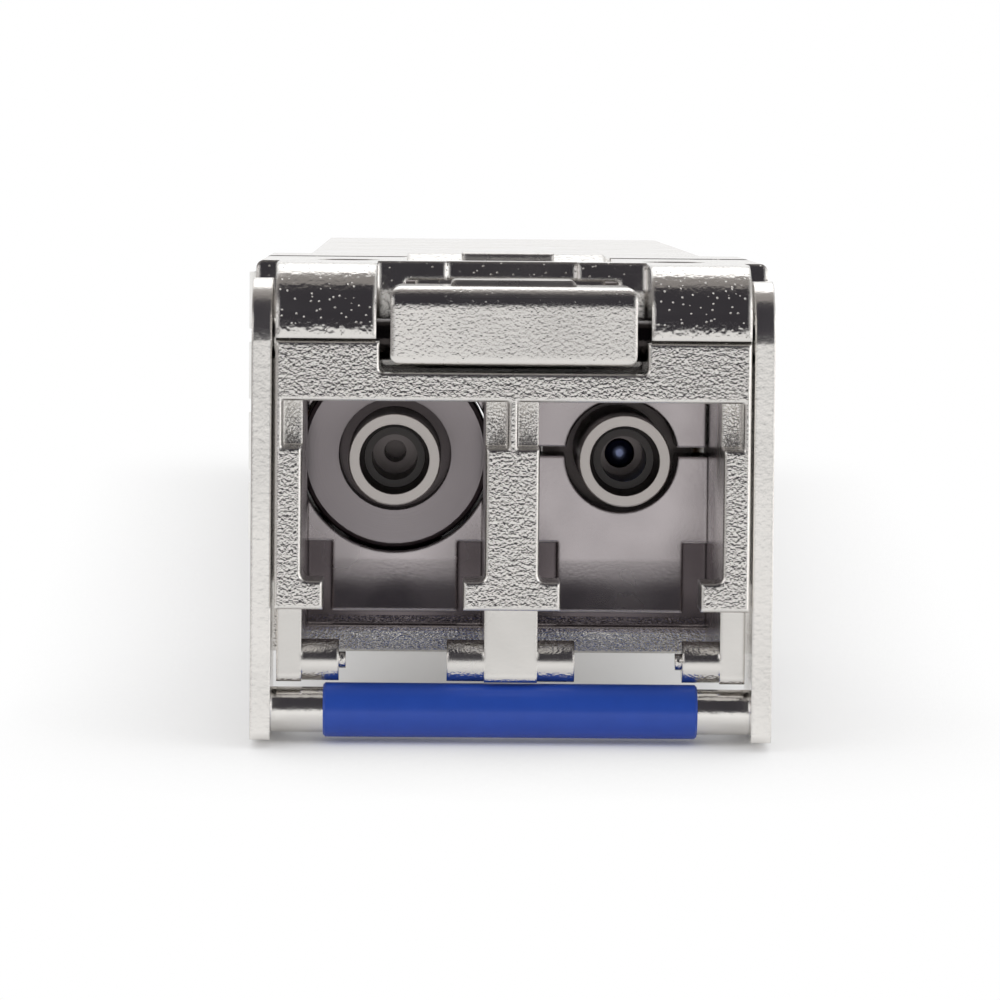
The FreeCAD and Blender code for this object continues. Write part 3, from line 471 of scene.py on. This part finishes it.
# Upper casting with the two knuckles, the bridge over the lever and the lid.
# It is the same plated zinc from a finer die, so it shines, and small pits glint on the knuckles.
fine_nickel = plated_zinc(
    "fine_nickel_plated_zinc",
    bright_nickel,
    edge=0.2 * MM,
    grain=0.14 * MM,
    relief=0.012 * MM,
    smooth_share=1.0,
    rough=0.2,
    pits=0.9,
)
dress(fine_nickel, "latch_housing")

# Latch lever between the knuckles, die-cast with a fine satin grain, and the leaf spring under its tail.
# The spring and the shielding collar round the body are pressed from plated spring sheet.
lever_nickel = plated_zinc(
    "satin_nickel_plated_lever",
    bright_nickel,
    edge=0.2 * MM,
    grain=0.09 * MM,
    relief=0.008 * MM,
    smooth_share=1.0,
    rough=0.28,
    pits=0.3,
)
dress(lever_nickel, "latch_lever")
spring_sheet = rolled_metal("plated_spring_sheet", "#e6e4e0", rough=0.24, mark=0.2 * MM)
dress(spring_sheet, "emi_collar", "lever_spring")

# Bail: a cast loop of zinc with a smooth bright nickel plate, hung on its camshaft between the two castings.
# The camshaft gets a painted shade, a dark tint where it shows between the knuckles.
camshaft_shade = [("#3a3635", (-3.62, -7.8, 1.2), (3.62, -6.4, 2.9), 0.1)]
bail_nickel = plated_zinc(
    "smooth_nickel_plated_bail",
    "#e8e5e1",
    edge=0.1 * MM,
    grain=0.12 * MM,
    relief=0.006 * MM,
    smooth_share=1.0,
    rough=0.22,
    pits=0.0,
    shaded=camshaft_shade,
)
dress(bail_nickel, "bail")

# Sleeve of blue vinyl, cut from an extruded tube and drawn over the bail's crossbar.
# It has a soft gloss, and its blue drifts a little along it.
blue_vinyl = moulded("blue_vinyl_sleeve", "#3a68e0", "#3661d4", rough=0.32, spot=0.6 * MM)
dress(blue_vinyl, "bail_sleeve")

# White table that the bail and the rear lower edge rest on, so it rises a little to the rear of the module.
# The paper shows white, and darkens under the module where little light gets in.
rear_underside = -4.2 * MM
shadow_reach = 8 * MM
half_table = 70 * MM
table_front = -300 * MM
table_margin = 20 * MM
bail_low, bail_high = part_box("bail")
housing_low, housing_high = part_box("port_housing")
slope = (rear_underside - bail_low.z) / (housing_high.y - bail_high.y)
corners = []
for edge_depth in (table_front, housing_high.y + table_margin):
    edge_height = bail_low.z + slope * (edge_depth - bail_high.y)
    corners += [(-half_table, edge_depth, edge_height), (half_table, edge_depth, edge_height)]
table_mesh = bpy.data.meshes.new("table")
table_mesh.from_pydata(corners, [], [(0, 1, 3, 2)])
table = bpy.data.objects.new("table", table_mesh)
bpy.context.scene.collection.objects.link(table)
paper, tree, place = new_material("white_paper")
diffuse = add(tree, "ShaderNodeBsdfDiffuse", {"Color": linear("#f6f6f6")})
glow = add(tree, "ShaderNodeEmission", {"Color": linear("#ffffff"), "Strength": 1.0})
rays = add(tree, "ShaderNodeLightPath")
seen = add(tree, "ShaderNodeMath", {
    0: rays.outputs["Is Camera Ray"],
    1: rays.outputs["Is Glossy Ray"],
}, operation="MAXIMUM")
openness = add(tree, "ShaderNodeAmbientOcclusion", {"Distance": shadow_reach}, samples=8)
white_share = add(tree, "ShaderNodeMath", {
    0: seen.outputs[0],
    1: openness.outputs["AO"],
}, operation="MULTIPLY")
close_material(tree, add(tree, "ShaderNodeMixShader", {
    0: white_share.outputs[0],
    1: diffuse.outputs[0],
    2: glow.outputs[0],
}))
table_mesh.materials.append(paper)

# Studio: a white sweep behind and below, soft boxes left and right, and an unlit room above the camera.
# Each layer of the world takes over where its direction rises from the first bound to the second.
half_table_view = 0.25
world = bpy.data.worlds.new("studio")
bpy.context.scene.world = world
world.use_nodes = True
tree = world.node_tree
tree.nodes.clear()
across, along, up = add(tree, "ShaderNodeSeparateXYZ", {
    "Vector": add(tree, "ShaderNodeTexCoord").outputs["Generated"],
}).outputs
leftwards = add(tree, "ShaderNodeMath", {0: across, 1: -1.0}, operation="MULTIPLY").outputs[0]
sideways = add(tree, "ShaderNodeMath", {0: across}, operation="ABSOLUTE").outputs[0]
beside = add(tree, "ShaderNodeMath", {0: sideways, 1: half_table_view}, operation="SUBTRACT").outputs[0]
off_table = add(tree, "ShaderNodeMath", {0: beside, 1: up}, operation="MAXIMUM").outputs[0]
table_ahead = add(tree, "ShaderNodeMath", {0: off_table, 1: -1.0}, operation="MULTIPLY").outputs[0]
camera_rays = add(tree, "ShaderNodeLightPath").outputs["Is Camera Ray"]
studio = linear("#3d3b40")
for value, low, high, code in ((along, -0.16, -0.06, "#9a9694"), (along, 0.35, 0.55, "#ffffff"),
                               (leftwards, 0.6, 0.85, "#b0acab"), (across, 0.5, 0.7, "#ffffff"),
                               (across, 0.86, 0.97, "#b0acab"), (table_ahead, -0.08, -0.02, "#ffffff"),
                               (camera_rays, 0.0, 1.0, "#ffffff")):
    share = add(tree, "ShaderNodeMapRange", {
        "Value": value,
        "From Min": low,
        "From Max": high,
    }, interpolation_type="SMOOTHSTEP")
    studio = add(tree, "ShaderNodeMix", {
        "Factor": share.outputs[0],
        6: studio,
        7: linear(code),
    }, data_type="RGBA").outputs[2]
light = add(tree, "ShaderNodeBackground", {"Color": studio, "Strength": 1.0})
add(tree, "ShaderNodeOutputWorld", {"Surface": light.outputs[0]})
box_side = 0.35
for name, place, radiance in (("left_soft_box", (-0.40, -0.30, 0.20), 1.6),
                              ("right_soft_box", (0.50, -0.10, 0.12), 1.6),
                              ("rear_soft_box", (0.0, 0.35, 0.40), 1.0)):
    lamp = bpy.data.lights.new(name, "AREA")
    lamp.shape = "SQUARE"
    lamp.size = box_side
    lamp.energy = radiance * math.pi * box_side ** 2
    soft_box = bpy.data.objects.new(name, lamp)
    bpy.context.scene.collection.objects.link(soft_box)
    soft_box.location = place
    soft_box.rotation_mode = "QUATERNION"
    soft_box.rotation_quaternion = (-Vector(place)).to_track_quat("-Z", "Y")
    soft_box.visible_camera = False

# Camera, where the photograph was taken from: low in front of the ports, with a long lens.
# It looks down a little, so a strip of the lid shows above the knuckles, and it was held with a slight roll.
focal_pixels = 5370
frame_pixels = 1000
camera_place = Vector((-2.3, -149.0, 7.0)) * MM
camera_aim = Vector((-0.33, -9.0, -1.84)) * MM
camera_roll = math.radians(0.5)
lens = bpy.data.cameras.new("photo_camera")
lens.sensor_width = 36.0
lens.lens = lens.sensor_width * focal_pixels / frame_pixels
lens.clip_start = 1 * MM
lens.clip_end = 10.0
camera = bpy.data.objects.new("photo_camera", lens)
bpy.context.scene.collection.objects.link(camera)
camera.rotation_mode = "QUATERNION"
camera.location = camera_place
facing = (camera_aim - camera_place).to_track_quat("-Z", "Y")
camera.rotation_quaternion = facing @ Quaternion((0, 0, 1), camera_roll)
bpy.context.scene.camera = camera
bpy.context.scene.view_settings.view_transform = "Standard"
